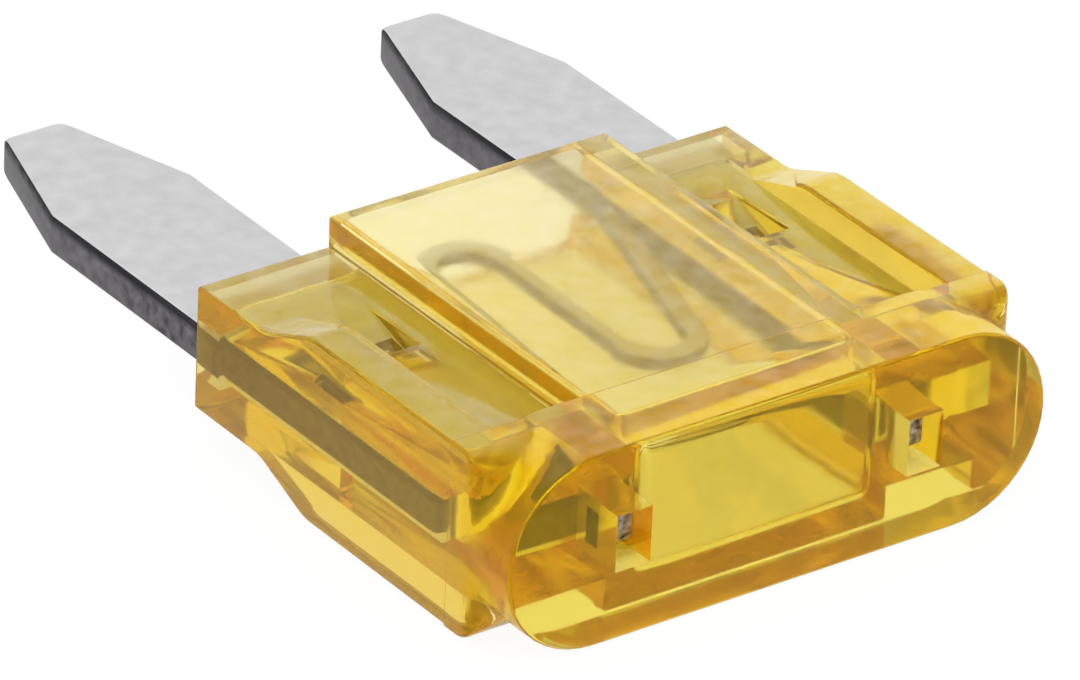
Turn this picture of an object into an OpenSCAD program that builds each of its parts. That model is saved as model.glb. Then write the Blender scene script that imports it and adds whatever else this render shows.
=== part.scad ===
// Miniature automotive blade fuse: a clear moulded housing and the stamped
// two-bladed element that is pushed into its open end and staked there.
// The fuse lies on its back: +X across the blades, +Y from the cap to the
// blade tips, +Z up. Lengths along Y are measured from the cap's end face.

/* [Blades] */
// Width of each blade
blade_w = 2.85; // [2.4:0.05:3.4]
// Thickness of the metal
blade_t = 0.75; // [0.6:0.05:1]
// Open gap between the two blades
blade_gap = 5; // [4.9:0.1:6.4]
// Length of blade that stands out of the housing
blade_reach = 7.35; // [6:0.05:9]
// Length of the tapered blade tip
tip_l = 2.85; // [1.5:0.05:4]
// Width of the blade tip, measured to its sharp corners
tip_w = 1.1; // [0.9:0.05:1.8]
// Radius of the two corners of the tip
tip_r = 0.25; // [0.1:0.05:0.35]
// Bevel round the thickness of the tip's end
tip_bevel = 0.12; // [0.05:0.01:0.2]
// Depth of the metal's head below the cap's end face
head_inset = 2.1; // [1.8:0.05:3]
// Width taken off the outer edge of each head, inside the housing
head_step = 0.35; // [0.1:0.05:0.6]
// Radius of the outer corners of the metal's head
head_r = 0.35; // [0.1:0.05:0.6]

/* [Fusible link] */
// Width of the link's outer strands and turns
link_w = 0.4; // [0.3:0.01:0.6]
// Width of the weak middle strand
neck_w = 0.28; // [0.15:0.01:0.4]
// Thickness of the link, which is thinned below the blades
link_t = 0.3; // [0.2:0.05:0.6]
// Sideways step from one strand to the next
link_pitch = 1.4; // [1.2:0.05:1.7]
// Straight length of the middle strand
link_l = 3.4; // [2:0.1:4]
// Distance of the link's centre from the housing's open end
link_inset = 2.95; // [2.7:0.05:3.5]

/* [Housing] */
// Length of the housing
housing_l = 8.95; // [8.5:0.05:11]
// Thickness of the plate that wraps the blades
plate_t = 2.35; // [1.8:0.05:2.6]
// Skin of plastic over the outer edge of each blade, at the open end
side_skin = 0.06; // [0.04:0.01:0.6]
// Clearance all round the metal in its slot
fit_gap = 0.02; // [0.02:0.01:0.05]
// Depth of the wider mouth at the slot's open end
mouth_l = 0.65; // [0.3:0.05:1]
// Extra height of the mouth above the metal and below it
mouth_rise = 0.12; // [0.05:0.01:0.2]

/* [Cap] */
// Thickness of the cap
cap_t = 3.6; // [3.5:0.05:4.4]
// How far the rounded boss stands out of the cap's shoulder
boss_h = 0.95; // [0.5:0.05:1.5]
// Length of the shoulder behind the boss
shoulder_l = 0.75; // [0.7:0.05:1.2]
// Radius of the shoulder's upright corners
shoulder_r = 0.3; // [0.1:0.05:0.5]
// Radius of the shoulder's front edges, above and below
shoulder_edge_r = 0.45; // [0.1:0.05:0.7]
// Step from the cap down to the walls behind it
cap_step = 0.02; // [0.01:0.01:0.05]

/* [Side rails] */
// Thickness over the rails
rail_t = 3.44; // [2.8:0.02:3.5]
// Width of each rail
rail_w = 0.82; // [0.5:0.02:1.2]
// Straight length of the rails behind the shoulder
rail_l = 4.05; // [3:0.05:5]
// Length of the ramp that ends each rail
ramp_l = 1.35; // [0.8:0.05:1.8]
// Radius that blends the ramp at both ends
ramp_r = 1; // [0.3:0.1:1.4]

/* [Raised panels] */
// Width of the raised panel over the link
panel_w = 5.7; // [5.2:0.05:6.4]
// Thickness over the two panels
panel_t = 3.5; // [3:0.02:3.5]

/* [Link chamber] */
// Width of the chamber
cavity_w = 4.9; // [4.4:0.05:5]
// Height of the chamber
cavity_t = 2.4; // [1.6:0.05:2.6]
// Wall between the chamber and the cap's end face
cap_wall = 1.3; // [0.8:0.05:2]

/* [Test holes] */
// Width of each test hole in the end face
probe_w = 0.7; // [0.5:0.05:1]
// Height of each test hole
probe_t = 1.05; // [0.8:0.05:1.4]
// Distance of each hole's middle from the blade's inner edge
probe_inset = 0.46; // [0.4:0.02:0.9]

/* [Stakes] */
// Width of each stake
stake_w = 0.68; // [0.5:0.02:0.9]
// Length of the punched pocket behind each stake
stake_l = 1.6; // [1.2:0.05:2]
// Length of the stake that reaches into the blade
peg_l = 0.95; // [0.6:0.05:1.1]
// Reach of each stake into its hole in the blade
peg_reach = 0.28; // [0.1:0.02:0.32]
// Depth of the pocket at its shallow end
pocket_min = 0.12; // [0.05:0.01:0.25]
// Depth of the pocket at its deep end
pocket_max = 0.45; // [0.3:0.01:0.5]
// Distance of the pocket's deep end from the housing's open end
stake_inset = 3.5; // [3.2:0.05:4]
// Distance of the stakes' middle from the blade's inner edge
stake_offset = 1.25; // [1:0.05:1.6]
// Clearance between each stake and its hole
hole_gap = 0.15; // [0.05:0.01:0.25]

/* [Hidden] */
$fn = 48;
amber = [0.93, 0.67, 0.13];
zinc = [0.78, 0.79, 0.80];

total_l = housing_l + blade_reach;
blades_w = blade_gap + 2 * blade_w;
heads_w = blades_w - 2 * head_step;
walls_w = blades_w + 2 * (fit_gap + side_skin);
housing_w = walls_w + 2 * cap_step;
cap_l = boss_h + shoulder_l;
walls_y = boss_h + shoulder_edge_r; // where the walls start inside the cap
blade_x = (blade_gap + blade_w) / 2;
slot_t = blade_t + 2 * fit_gap;
mouth_y = housing_l - mouth_l;
probe_x = blade_gap / 2 + probe_inset;
stake_x = blade_gap / 2 + stake_offset;
stake_y = housing_l - stake_inset;
link_y = housing_l - link_inset;
rail_end = cap_l + rail_l;
ramp_a = atan((rail_t - plate_t) / 2 / ramp_l);
past = 1; // how far a cut runs past the face it opens

// Points of an arc about c, from angle a0 to angle a1
function arc(c, r, a0, a1, n = 8) =
    [for (i = [0:n]) let (a = a0 + (a1 - a0) * i / n) c + r * [cos(a), sin(a)]];

// Stands the fuse in its own frame: centred, resting on the cap's flat
module in_place() translate([0, -total_l / 2, cap_t / 2]) children();

// Extrudes an X-Z outline along Y, from y0 to y1
module along_y(y0, y1)
    translate([0, y1, 0]) rotate([90, 0, 0]) linear_extrude(y1 - y0) children();

// Extrudes a Y-Z outline along X, to the right of x0
module along_x(x0, w)
    translate([x0, 0, 0]) rotate([90, 0, 90]) linear_extrude(w) children();

// Extrudes an X-Y outline evenly above and below the middle plane
module mid_plate(t) translate([0, 0, -t / 2]) linear_extrude(t) children();

module both_sides() for (side = [0, 1]) mirror([side, 0, 0]) children();

module both_faces() for (face = [0, 1]) mirror([0, 0, face]) children();

// A box from y0 to y1, centred across X and Z
module block(w, t, y0, y1)
    translate([-w / 2, y0, -t / 2]) cube([w, y1 - y0, t]);

// ---- housing ----

// Round-ended boss, which runs on through the shoulder as a low band
module cap_boss() along_y(0, cap_l) {
    square([housing_w - cap_t, cap_t], center = true);
    for (side = [-1, 1]) translate([side * (housing_w - cap_t) / 2, 0]) circle(d = cap_t);
}

// Plate w wide and l long from y0, with its two front corners rounded
module rounded_front(w, l, y0, r) {
    translate([-w / 2, y0 + r]) square([w, l - r]);
    translate([r - w / 2, y0]) square([w - 2 * r, l]);
    for (side = [-1, 1]) translate([side * (w / 2 - r), y0 + r]) circle(r);
}

// Rounded in plan by the first outline and in side view by the second
module cap_shoulder() intersection() {
    mid_plate(cap_t) rounded_front(housing_w, shoulder_l, boss_h, shoulder_r);
    along_x(-housing_w / 2, housing_w) rotate(-90)
        rounded_front(rail_t + 2 * cap_step, shoulder_l, boss_h, shoulder_edge_r);
}

// Upper half of a rail's outline: flat, then a blended ramp down to the plate
module rail_outline() {
    blend = ramp_r * tan(ramp_a / 2);
    top = rail_t / 2;
    foot = plate_t / 2;
    polygon(concat(
        [[walls_y, 0], [walls_y, top]],
        arc([rail_end - blend, top - ramp_r], ramp_r, 90, 90 - ramp_a),
        arc([rail_end + ramp_l + blend, foot + ramp_r], ramp_r, 270 - ramp_a, 270),
        [[rail_end + ramp_l + blend, 0]]));
}

module side_rails()
    both_sides() both_faces() along_x(walls_w / 2 - rail_w, rail_w) rail_outline();

module outer_form() {
    cap_boss();
    cap_shoulder();
    side_rails();
    block(walls_w, plate_t, walls_y, housing_l);
    block(panel_w, panel_t, boss_h, housing_l);
}

// Slot for the metal, open at the blade end, where a mouth takes the full blades
module element_slot() {
    block(heads_w + 2 * fit_gap, slot_t, head_inset - fit_gap, housing_l + past);
    block(blades_w + 2 * fit_gap, slot_t + 2 * mouth_rise, mouth_y, housing_l + past);
}

// Chamber that leaves air round the link, open at the blade end
module link_chamber() block(cavity_w, cavity_t, cap_wall, housing_l + past);

module test_holes()
    both_sides() translate([probe_x, 0, 0]) block(probe_w, probe_t, -past, head_inset);

// Wedge-shaped pocket that the staking punch leaves in the plate
module stake_pocket() along_x(stake_x - stake_w / 2, stake_w) polygon([
    [stake_y, plate_t / 2 - pocket_max],
    [stake_y + stake_l, plate_t / 2 - pocket_min],
    [stake_y + stake_l, plate_t / 2 + past],
    [stake_y, plate_t / 2 + past]]);

// Plastic that the punch drives into the hole in the blade
module stake_peg()
    translate([stake_x - stake_w / 2, stake_y, blade_t / 2 - peg_reach])
        cube([stake_w, peg_l, peg_reach + fit_gap]);

module housing() color(amber) in_place() {
    difference() {
        outer_form();
        element_slot();
        link_chamber();
        test_holes();
        both_sides() both_faces() stake_pocket();
    }
    both_sides() both_faces() stake_peg();
}

// ---- fuse element ----

// Outline of one blade, with its head inside the housing
module blade_outline() {
    tip_a = atan((blade_w - tip_w) / 2 / tip_l);
    corner_x = tip_w / 2 - tip_r * (1 - sin(tip_a)) / cos(tip_a);
    corner_y = total_l - tip_r;
    half = [
        [0, head_inset],
        [blade_w / 2, head_inset],
        [blade_w / 2, total_l - tip_l]];
    right = concat(half, arc([corner_x, corner_y], tip_r, tip_a, 90));
    left = [for (i = [len(right) - 1:-1:1]) [-right[i][0], right[i][1]]];
    polygon(concat(right, left));
}

// Side outline of the metal, bevelled at the tip
module metal_section() polygon([
    [head_inset, -blade_t / 2], [total_l - tip_bevel, -blade_t / 2],
    [total_l, tip_bevel - blade_t / 2], [total_l, blade_t / 2 - tip_bevel],
    [total_l - tip_bevel, blade_t / 2], [head_inset, blade_t / 2]]);

// Square corner minus its inscribed circle, for rounding an outer corner
module corner_waste(r) difference() {
    square([r + past, r + past]);
    circle(r);
}

module blade() intersection() {
    mid_plate(blade_t) difference() {
        translate([blade_x, 0]) blade_outline();
        translate([stake_x, stake_y + peg_l / 2])
            square([stake_w, peg_l] + 2 * hole_gap * [1, 1], center = true);
        translate([heads_w / 2, head_inset - past])
            square([head_step + past, mouth_y + fit_gap - head_inset + past]);
        translate([heads_w / 2 - head_r, head_inset + head_r])
            mirror([0, 1]) corner_waste(head_r);
    }
    along_x(blade_gap / 2 - past, blade_w + 2 * past) metal_section();
}

// Half a ring that joins two strands; it bulges towards -Y
module link_turn() difference() {
    circle(d = link_pitch + link_w);
    circle(d = link_pitch - link_w);
    translate([-link_pitch, 0]) square(2 * link_pitch);
}

// One end of the link: a turn at the cap end and the strand that leans
// from it to the blade. The other end is the same, turned half round.
module link_end() {
    translate([link_pitch / 2, -link_l / 2]) link_turn();
    polygon([
        [link_pitch - link_w / 2, -link_l / 2], [link_pitch + link_w / 2, -link_l / 2],
        [blade_gap / 2 + link_w / 2, link_l / 2 + link_w], [blade_gap / 2 - link_w / 2, link_l / 2 + link_w]]);
}

module link() mid_plate(link_t) translate([0, link_y]) {
    square([neck_w, link_l], center = true);
    link_end();
    rotate(180) link_end();
}

module fuse_element() color(zinc) in_place() {
    both_sides() blade();
    link();
}

housing();
fuse_element();
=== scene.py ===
# Miniature blade fuse: clear amber moulding round a stamped two-bladed metal strip
import bpy
import bmesh
import math
from mathutils import Euler, Matrix, Vector


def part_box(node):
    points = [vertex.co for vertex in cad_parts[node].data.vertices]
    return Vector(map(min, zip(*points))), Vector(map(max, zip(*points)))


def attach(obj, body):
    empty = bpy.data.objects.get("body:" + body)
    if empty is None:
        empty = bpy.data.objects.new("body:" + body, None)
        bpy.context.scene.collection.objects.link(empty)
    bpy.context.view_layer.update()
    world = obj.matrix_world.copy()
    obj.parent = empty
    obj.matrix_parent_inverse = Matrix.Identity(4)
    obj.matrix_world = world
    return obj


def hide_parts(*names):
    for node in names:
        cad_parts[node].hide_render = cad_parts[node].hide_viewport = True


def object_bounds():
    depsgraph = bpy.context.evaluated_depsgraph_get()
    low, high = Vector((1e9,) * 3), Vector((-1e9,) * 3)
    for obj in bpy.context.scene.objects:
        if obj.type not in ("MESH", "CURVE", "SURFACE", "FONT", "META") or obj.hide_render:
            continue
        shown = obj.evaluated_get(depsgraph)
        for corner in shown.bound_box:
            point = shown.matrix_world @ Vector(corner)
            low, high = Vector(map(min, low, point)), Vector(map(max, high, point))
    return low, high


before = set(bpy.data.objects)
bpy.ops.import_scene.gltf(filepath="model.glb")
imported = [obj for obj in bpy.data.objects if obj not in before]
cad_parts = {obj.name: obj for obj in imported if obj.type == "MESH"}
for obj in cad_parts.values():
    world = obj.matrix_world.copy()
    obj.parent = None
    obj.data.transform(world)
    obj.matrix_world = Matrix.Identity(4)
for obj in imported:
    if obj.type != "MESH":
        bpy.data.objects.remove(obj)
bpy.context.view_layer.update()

mm = 0.001               # everything below is given in millimetres and scaled by this
scene = bpy.context.scene
print("frame loaded:", sorted(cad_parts))


# camera: a long lens from in front of the cap's left corner, a little above
viewSetup = {"azimuth": -36.88, "elevation": 29.2, "roll": 2.61, "distance": 187.3,
             "lookAt": (-1.28, -3.14, 2.6), "lens": 378.4, "sensor": 36, "nearest": 10}


def addCamera(setup):
    cameraData = bpy.data.cameras.new("fuseCamera")
    cameraData.sensor_width = setup["sensor"]
    cameraData.lens = setup["lens"]
    cameraData.clip_start = setup["nearest"] * mm
    camera = bpy.data.objects.new("fuseCamera", cameraData)
    scene.collection.objects.link(camera)
    tilt = math.radians(90 - setup["elevation"])
    aim = Euler((tilt, 0, math.radians(setup["azimuth"]))).to_matrix()
    aim = aim @ Matrix.Rotation(math.radians(setup["roll"]), 3, "Z")
    target = Vector(setup["lookAt"]) * mm
    camera.matrix_world = Matrix.Translation(target + aim.col[2] * setup["distance"] * mm) @ aim.to_4x4()
    scene.camera = camera


addCamera(viewSetup)
print("camera placed")


# materials: the parts that the plastic and the metals share
noiseMiddle = (0.3, 0.7)                  # nearly all of a noise lies between these


def newMaterial(name):
    material = bpy.data.materials.new(name)
    material.use_nodes = True
    material.node_tree.nodes.clear()
    return material, material.node_tree.nodes, material.node_tree.links


def blotches(nodes, links, size, detail):  # noise with spots about size mm across
    where = nodes.new("ShaderNodeTexCoord")
    noise = nodes.new("ShaderNodeTexNoise")
    noise.inputs["Scale"].default_value = 1 / (size * mm)
    noise.inputs["Detail"].default_value = detail
    links.new(where.outputs["Object"], noise.inputs["Vector"])
    return noise.outputs["Fac"]


def stretched(nodes, links, value, source, result=(0, 1)):    # the source range becomes the result range
    span = nodes.new("ShaderNodeMapRange")
    span.inputs["From Min"].default_value = source[0]
    span.inputs["From Max"].default_value = source[1]
    span.inputs["To Min"].default_value = result[0]
    span.inputs["To Max"].default_value = result[1]
    links.new(value, span.inputs["Value"])
    return span.outputs["Result"]


def alongAxis(nodes, links, source, axis):  # one axis of the place ("Object") or of the "Normal"
    where = nodes.new("ShaderNodeTexCoord")
    parts = nodes.new("ShaderNodeSeparateXYZ")
    links.new(where.outputs[source], parts.inputs["Vector"])
    return parts.outputs[axis]


def blend(nodes, links, share, first, second):    # mixes two colours; the first may come from a node
    mix = nodes.new("ShaderNodeMix")
    mix.data_type = "RGBA"
    if isinstance(first, tuple):          # a colour mix takes its colours at 6 and 7 and gives one at 2
        mix.inputs[6].default_value = first
    else:
        links.new(first, mix.inputs[6])
    mix.inputs[7].default_value = second
    links.new(share, mix.inputs[0])
    return mix.outputs[2]


def relief(nodes, links, height, depth, below=None):    # bump of a depth in mm, over another bump or alone
    bump = nodes.new("ShaderNodeBump")
    bump.inputs["Distance"].default_value = depth * mm
    links.new(height, bump.inputs["Height"])
    if below:
        links.new(below, bump.inputs["Normal"])
    return bump.outputs["Normal"]


# clear amber plastic, coloured by the depth that light crosses, with painted shade on the faces square to X;
# the square faces carry a patchy gloss
amberLook = {"absorb": (0.999, 0.922, 0.0, 1), "density": 1000, "ior": 1.58,
             "reflection": (0.9, 0.6, 0.08, 1),
             "clear": (1.0, 1.0, 1.0, 1), "paintedSideShade": (0.95, 0.75, 0.27, 1), "square": 0.8,
             "flowSize": 1.2, "flowDetail": 2, "flowDepth": 0.004,
             "grainSize": 0.12, "grainDetail": 3, "grainDepth": 0.0004,
             "roughness": (0.06, 0.15), "dullSize": 0.5, "dullDetail": 3,
             "gloss": (0.0, 0.85), "glossSize": 0.4, "glossDetail": 6,
             "glossRoughness": 0.1, "glossIor": 1.85,
             "haze": 0.12, "hazeSize": 0.9, "hazeDetail": 3, "hazeRoughness": 0.6,
             "hazePale": (1.0, 0.71, 0.05, 1), "hazeDeep": (1.0, 0.63, 0.01, 1)}


def facing(nodes, links, axis, start):    # 1 on faces square to the axis, 0 on all that slope more
    size = nodes.new("ShaderNodeMath")
    size.operation = "ABSOLUTE"
    links.new(alongAxis(nodes, links, "Normal", axis), size.inputs[0])
    return stretched(nodes, links, size.outputs[0], (start, 1))


def amberPlastic(look):
    material, nodes, links = newMaterial("amberPlastic")
    flow = blotches(nodes, links, look["flowSize"], look["flowDetail"])
    flow = relief(nodes, links, flow, look["flowDepth"])
    grain = blotches(nodes, links, look["grainSize"], look["grainDetail"])
    grain = relief(nodes, links, grain, look["grainDepth"], flow)
    clear = nodes.new("ShaderNodeBsdfPrincipled")
    # painted shade: faces square to X take a darker, deeper amber base colour
    sideShadeMask = facing(nodes, links, "X", look["square"])
    links.new(blend(nodes, links, sideShadeMask, look["clear"], look["paintedSideShade"]), clear.inputs["Base Color"])
    clear.inputs["IOR"].default_value = look["ior"]
    clear.inputs["Specular Tint"].default_value = look["reflection"]
    clear.inputs["Transmission Weight"].default_value = 1
    dullness = blotches(nodes, links, look["dullSize"], look["dullDetail"])
    links.new(stretched(nodes, links, dullness, noiseMiddle, look["roughness"]), clear.inputs["Roughness"])
    links.new(grain, clear.inputs["Normal"])
    gloss = blotches(nodes, links, look["glossSize"], look["glossDetail"])
    broad = nodes.new("ShaderNodeMath")
    broad.operation = "MULTIPLY"
    links.new(facing(nodes, links, "Z", look["square"]), broad.inputs[0])
    links.new(stretched(nodes, links, gloss, noiseMiddle, look["gloss"]), broad.inputs[1])
    links.new(broad.outputs[0], clear.inputs["Coat Weight"])
    clear.inputs["Coat Roughness"].default_value = look["glossRoughness"]
    clear.inputs["Coat IOR"].default_value = look["glossIor"]
    haze = nodes.new("ShaderNodeBsdfPrincipled")
    haze.inputs["Roughness"].default_value = look["hazeRoughness"]
    haze.inputs["Specular IOR Level"].default_value = 0
    cloud = blotches(nodes, links, look["hazeSize"], look["hazeDetail"])
    cloud = stretched(nodes, links, cloud, noiseMiddle)
    links.new(blend(nodes, links, cloud, look["hazePale"], look["hazeDeep"]), haze.inputs["Base Color"])
    links.new(grain, haze.inputs["Normal"])
    both = nodes.new("ShaderNodeMixShader")
    both.inputs[0].default_value = look["haze"]
    links.new(clear.outputs["BSDF"], both.inputs[1])
    links.new(haze.outputs["BSDF"], both.inputs[2])
    depth = nodes.new("ShaderNodeVolumeAbsorption")
    depth.inputs["Color"].default_value = look["absorb"]
    depth.inputs["Density"].default_value = look["density"]
    output = nodes.new("ShaderNodeOutputMaterial")
    links.new(both.outputs["Shader"], output.inputs["Surface"])
    links.new(depth.outputs["Volume"], output.inputs["Volume"])
    return material


# zinc: satin faces, edges dark partly from their sheared surface and partly from painted shade, and torn
# ends in the test holes mottled black to white as painted glints; a painted shadow strip lies between two
# heights
zincLooks = {
    "zincFace": {"colours": ((0.58, 0.58, 0.58, 1), (0.68, 0.68, 0.69, 1)), "roughness": (0.36, 0.5),
                 "size": 0.35, "detail": 4, "bumpSize": 0.05, "bumpDetail": 3, "bumpDepth": 0.0012},
    # edges: a rougher sheared surface, with painted shade making them near black
    "zincEdgeAndShade": {"colours": ((0.07, 0.066, 0.07, 1), (0.2, 0.19, 0.2, 1)), "roughness": (0.35, 0.6),
                 "size": 0.22, "detail": 4, "bumpSize": 0.22, "bumpDetail": 3, "bumpDepth": 0.01,
                 # painted shadow strip under the rolled upper edge, between two heights
                 "band": (0.03, 0.03, 0.033, 1), "bandHeights": (1.93, 2.07)},
    # torn ends: a rough torn surface whose black to near-white mottle is painted glints and dark spots
    "zincTornAndGlints": {"colours": ((0.0, 0.0, 0.0, 1), (0.9, 0.88, 0.9, 1)), "roughness": (0.35, 0.6),
                 "size": 0.15, "detail": 4, "bumpSize": 0.15, "bumpDetail": 3, "bumpDepth": 0.01}}


def zincMetal(name, look):
    material, nodes, links = newMaterial(name)
    shader = nodes.new("ShaderNodeBsdfPrincipled")
    shader.inputs["Metallic"].default_value = 1
    cloud = blotches(nodes, links, look["size"], look["detail"])
    colour = blend(nodes, links, stretched(nodes, links, cloud, noiseMiddle), *look["colours"])
    if "band" in look:                    # painted shadow: a dark strip along the upper edge, under the rolled rim
        height = alongAxis(nodes, links, "Object", "Z")
        band = stretched(nodes, links, height, [limit * mm for limit in look["bandHeights"]])
        colour = blend(nodes, links, band, colour, look["band"])
    links.new(colour, shader.inputs["Base Color"])
    links.new(stretched(nodes, links, cloud, noiseMiddle, look["roughness"]), shader.inputs["Roughness"])
    bumps = blotches(nodes, links, look["bumpSize"], look["bumpDetail"])
    links.new(relief(nodes, links, bumps, look["bumpDepth"]), shader.inputs["Normal"])
    output = nodes.new("ShaderNodeOutputMaterial")
    links.new(shader.outputs["BSDF"], output.inputs["Surface"])
    return material


# shaping: what the housing and the element share
def edgeTurn(edge):                       # signed angle between the two faces, in degrees
    return math.degrees(edge.calc_face_angle_signed())


def roundEdges(bm, edges, radius, segments):
    bmesh.ops.bevel(bm, geom=edges, offset=radius * mm, offset_type="OFFSET", segments=segments,
                    profile=0.5, affect="EDGES", material=-1, clamp_overlap=False)


def joinFlats(bm, shape):                 # the solid's triangles become whole flat faces
    limit = math.radians(shape["flatAngle"])
    bmesh.ops.dissolve_limit(bm, angle_limit=limit, verts=bm.verts, edges=bm.edges)


def addPiece(bm, name, materials, smoothAngle):
    mesh = bpy.data.meshes.new(name)
    bm.to_mesh(mesh)
    bm.free()
    for material in materials:
        mesh.materials.append(material)
    mesh.shade_smooth()
    mesh.set_sharp_from_angle(angle=math.radians(smoothAngle))
    piece = bpy.data.objects.new(name, mesh)
    scene.collection.objects.link(piece)
    return piece


# housing: the CAD solid with its moulded edges rounded
housingShape = {"merge": 0.0001, "flatAngle": 0.3, "near": 0.01, "skinHeight": 1.12, "skinWidth": 5.4,
                "holeZone": (2.4, 3.5, 0.6), "pocketEnd": 7.05, "pocketFloor": 1.055, "plateTop": 1.175,
                "chamber": (2.45, 1.2), "capBack": 1.7, "openEnd": 8.95, "panelSide": 2.85,
                "railInside": 4.61, "rampFoot": 1.32, "hollowAngle": -60, "ridgeAngle": 40,
                "hollowLength": 0.5, "hollowRadius": 0.03, "ridgeRadius": 0.07, "chamberRadius": 0.27,
                "segments": 4, "smoothAngle": 30}


def makeHousing(material):
    shape = housingShape
    low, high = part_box("housing")
    middle = (low.z + high.z) / 2
    bm = bmesh.new()
    bm.from_mesh(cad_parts["housing"].data)
    bmesh.ops.remove_doubles(bm, verts=bm.verts, dist=shape["merge"] * mm)
    joinFlats(bm, shape)

    def place(vert):                      # across, along from the cap's end, and up from the middle
        return abs(vert.co.x) / mm, (vert.co.y - low.y) / mm, abs(vert.co.z - middle) / mm

    def same(value, target):
        return abs(value - target) < shape["near"]

    for vert in bm.verts:                 # the pockets run out to nothing at their shallow ends
        _, along, up = place(vert)
        if same(along, shape["pocketEnd"]) and same(up, shape["pocketFloor"]):
            vert.co.z = middle + math.copysign(shape["plateTop"] * mm, vert.co.z - middle)
    bmesh.ops.remove_doubles(bm, verts=bm.verts, dist=shape["merge"] * mm)

    def inChamber(vert):
        across, _, up = place(vert)
        return same(across, shape["chamber"][0]) and same(up, shape["chamber"][1])

    def onSkin(vert):                     # on the outside, and not in a test hole or the chamber
        across, along, up = place(vert)
        start, end, top = shape["holeZone"]
        onFront = same(along, 0) and not (start < across < end and up < top)
        outside = up > shape["skinHeight"] or across > shape["skinWidth"] or onFront
        return outside and not inChamber(vert)

    def staysSharp(edge):                 # step behind the cap, panel's foot, thin end walls, foot of a ramp
        spots = [place(vert) for vert in edge.verts]
        if all(same(along, shape["capBack"]) for _, along, _ in spots):
            return True
        if all(same(across, shape["panelSide"]) and same(up, shape["plateTop"]) for across, _, up in spots):
            return True
        if all(same(along, shape["openEnd"]) and across > shape["skinWidth"] for across, along, _ in spots):
            return True
        return any(same(across, shape["railInside"]) and up < shape["rampFoot"] for across, _, up in spots)

    def skinEdges(test):
        return [e for e in bm.edges if test(e) and all(onSkin(v) for v in e.verts) and not staysSharp(e)]

    def isHollow(edge):
        return edgeTurn(edge) < shape["hollowAngle"]

    hollows = skinEdges(lambda e: isHollow(e) and e.calc_length() > shape["hollowLength"] * mm)
    roundEdges(bm, hollows, shape["hollowRadius"], shape["segments"])
    ridges = skinEdges(lambda e: edgeTurn(e) > shape["ridgeAngle"])
    roundEdges(bm, ridges, shape["ridgeRadius"], shape["segments"])
    corners = [e for e in bm.edges if isHollow(e) and all(inChamber(v) for v in e.verts)]
    roundEdges(bm, corners, shape["chamberRadius"], shape["segments"])
    piece = addPiece(bm, "clearHousing", [material], shape["smoothAngle"])
    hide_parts("housing")
    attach(piece, "root")


makeHousing(amberPlastic(amberLook))
print("housing dressed")


# metal element: edges that roll over at the top and bottom, tips that thin out, tabs in the test holes
# nose holds (distance from the tip, share of the thickness) and tabSteps (distance below the cap's end,
# swelling into the hole's outer wall)
elementShape = {"merge": 0.0001, "flatAngle": 0.3, "tipBevel": 0.13, "flat": 0.9, "near": 0.01,
                "nose": ((0.36, 1.0), (0.24, 0.97), (0.12, 0.88), (0.0, 0.7)),
                "tabMiddle": 2.96, "tabWidth": 0.66,
                "tabSteps": ((1.62, 0), (1.6, 0.03), (1.02, 0.03), (1.0, 0), (0.52, 0)), "rollAngle": 60,
                "rollRadius": 0.09, "linkHeight": 0.2, "linkRadius": 0.05, "segments": 4, "smoothAngle": 40}


def liesAt(face, end):                    # whether a face lies square across the element at that end
    return all(abs(vert.co.y - end) < elementShape["near"] * mm for vert in face.verts)


def addTestTabs(bm, headEnd):             # each head runs on as a narrow tab in the test hole
    shape = elementShape
    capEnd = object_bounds()[0][1]
    for side in (-1, 1):
        for across in (-0.5, 0.5):
            cut = side * (shape["tabMiddle"] + across * shape["tabWidth"]) * mm
            ends = [face for face in bm.faces if liesAt(face, headEnd)]
            edges = list({edge for face in ends for edge in face.edges})
            verts = list({vert for face in ends for vert in face.verts})
            bmesh.ops.bisect_plane(bm, geom=ends + edges + verts, plane_co=(cut, 0, 0), plane_no=(1, 0, 0))
    tips = [face for face in bm.faces if liesAt(face, headEnd)
            and abs(abs(face.calc_center_median().x) - shape["tabMiddle"] * mm) < shape["near"] * mm]
    outside = (shape["tabMiddle"] + shape["tabWidth"] / 2) * mm
    for tip in tips:
        for depth, swelling in shape["tabSteps"]:
            grown = bmesh.ops.extrude_face_region(bm, geom=[tip])["geom"]
            bmesh.ops.delete(bm, geom=[tip], context="FACES_ONLY")
            tip = next(item for item in grown if isinstance(item, bmesh.types.BMFace))
            for vert in tip.verts:
                vert.co.y = capEnd + depth * mm
                if abs(vert.co.x) > shape["tabMiddle"] * mm:
                    vert.co.x = math.copysign(outside + swelling * mm, vert.co.x)
    return capEnd + shape["tabSteps"][-1][0] * mm


def taperTips(bm, end, middle):           # each blade thins towards its tip
    steps = elementShape["nose"]
    for distance, _ in steps[:-1]:
        geom = bm.verts[:] + bm.edges[:] + bm.faces[:]
        bmesh.ops.bisect_plane(bm, geom=geom, plane_co=(0, end - distance * mm, 0), plane_no=(0, 1, 0))
    for vert in bm.verts:
        back = max((end - vert.co.y) / mm, 0)
        for (far, farShare), (close, closeShare) in zip(steps, steps[1:]):
            if close <= back < far:
                share = closeShare + (farShare - closeShare) * (back - close) / (far - close)
                vert.co.z = middle + (vert.co.z - middle) * share


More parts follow.
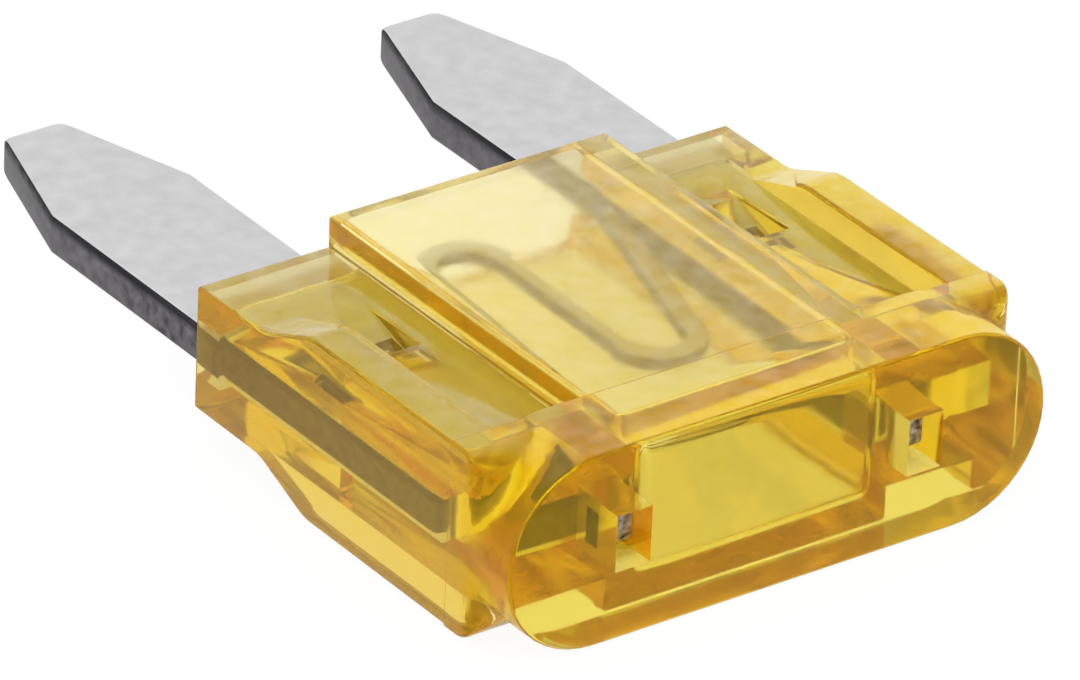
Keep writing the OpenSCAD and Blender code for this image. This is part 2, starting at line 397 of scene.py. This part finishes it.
def makeElement(metals):
    shape = elementShape
    low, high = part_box("fuse_element")
    middle = (low.z + high.z) / 2
    bm = bmesh.new()
    bm.from_mesh(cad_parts["fuse_element"].data)
    bmesh.ops.remove_doubles(bm, verts=bm.verts, dist=shape["merge"] * mm)
    for vert in bm.verts:                 # the tip's straight bevels give way to the round ones below
        if vert.co.y > high.y - shape["tipBevel"] * mm:
            vert.co.z = high.z if vert.co.z > middle else low.z
    joinFlats(bm, shape)
    tabEnd = addTestTabs(bm, low.y)
    bm.normal_update()

    def isFlat(face):
        return abs(face.normal.z) > shape["flat"]

    for face in bm.faces:                 # 0 faces, 1 edges with painted shade, 2 torn ends with painted glints, as the metals come
        face.material_index = 2 if liesAt(face, tabEnd) else 0 if isFlat(face) else 1

    def onLink(edge):
        return all(abs(vert.co.z - middle) < shape["linkHeight"] * mm for vert in edge.verts)

    def rolls(edge):
        flats = [face for face in edge.link_faces if isFlat(face)]
        return len(flats) == 1 and edgeTurn(edge) > shape["rollAngle"]

    strands = [e for e in bm.edges if rolls(e) and onLink(e)]
    roundEdges(bm, strands, shape["linkRadius"], shape["segments"])
    rims = [e for e in bm.edges if rolls(e) and not onLink(e)]
    roundEdges(bm, rims, shape["rollRadius"], shape["segments"])
    taperTips(bm, high.y, middle)
    piece = addPiece(bm, "stampedElement", metals, shape["smoothAngle"])
    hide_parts("fuse_element")
    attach(piece, "root")


makeElement([zincMetal(name, look) for name, look in zincLooks.items()])
print("element dressed")


# studio: white floor, white surroundings, soft lamps; many bounces, as light crosses many walls
studio = {"floorSize": 800, "floorGap": 0.02, "floorColour": (0.1, 0.1, 0.1, 1), "floorGlow": 0.92,
          "worldColour": (1, 1, 1, 1), "world": 1.0, "lampSize": 250, "keyPlace": (-60, 120, 220),
          "keyPower": 0.02, "fillPlace": (-260, -120, 120), "fillPower": 0.3, "bounces": 32}


def backgroundRays(nodes, links):         # 1 for rays that look at the background, mirror it or pass to it
    path = nodes.new("ShaderNodeLightPath")
    found = path.outputs["Is Camera Ray"]
    for kind in ("Is Glossy Ray", "Is Transmission Ray"):
        either = nodes.new("ShaderNodeMath")
        either.operation = "MAXIMUM"
        links.new(found, either.inputs[0])
        links.new(path.outputs[kind], either.inputs[1])
        found = either.outputs[0]
    return found


def addFloor():
    bm = bmesh.new()
    bmesh.ops.create_grid(bm, x_segments=1, y_segments=1, size=studio["floorSize"] / 2 * mm)
    bmesh.ops.translate(bm, verts=bm.verts, vec=(0, 0, -studio["floorGap"] * mm))
    mesh = bpy.data.meshes.new("floor")
    bm.to_mesh(mesh)
    bm.free()
    floor = bpy.data.objects.new("floor", mesh)
    scene.collection.objects.link(floor)
    material, nodes, links = newMaterial("paleFloor")
    diffuse = nodes.new("ShaderNodeBsdfDiffuse")
    diffuse.inputs["Color"].default_value = studio["floorColour"]
    glow = nodes.new("ShaderNodeEmission")
    strength = stretched(nodes, links, backgroundRays(nodes, links), (0, 1), (0, studio["floorGlow"]))
    links.new(strength, glow.inputs["Strength"])
    both = nodes.new("ShaderNodeAddShader")
    links.new(diffuse.outputs["BSDF"], both.inputs[0])
    links.new(glow.outputs["Emission"], both.inputs[1])
    output = nodes.new("ShaderNodeOutputMaterial")
    links.new(both.outputs["Shader"], output.inputs["Surface"])
    mesh.materials.append(material)


def addWorld():                           # as bright as world for the lighting, and plain white to look at
    world = bpy.data.worlds.new("studioWorld")
    scene.world = world
    world.use_nodes = True
    nodes, links = world.node_tree.nodes, world.node_tree.links
    nodes.clear()
    strength = stretched(nodes, links, backgroundRays(nodes, links), (0, 1), (studio["world"], 1))
    background = nodes.new("ShaderNodeBackground")
    background.inputs["Color"].default_value = studio["worldColour"]
    links.new(strength, background.inputs["Strength"])
    output = nodes.new("ShaderNodeOutputWorld")
    links.new(background.outputs["Background"], output.inputs["Surface"])


def addLamp(name, place, watts):
    data = bpy.data.lights.new(name, "AREA")
    data.size = studio["lampSize"] * mm
    data.energy = watts
    lamp = bpy.data.objects.new(name, data)
    scene.collection.objects.link(lamp)
    lamp.location = Vector(place) * mm
    lamp.rotation_euler = (-lamp.location).to_track_quat("-Z", "Y").to_euler()


addFloor()
addWorld()
addLamp("keyLamp", studio["keyPlace"], studio["keyPower"])
addLamp("fillLamp", studio["fillPlace"], studio["fillPower"])
scene.cycles.max_bounces = studio["bounces"]
scene.cycles.transmission_bounces = studio["bounces"]
scene.cycles.glossy_bounces = studio["bounces"]
print("studio set")

scene.view_settings.view_transform = "Standard"
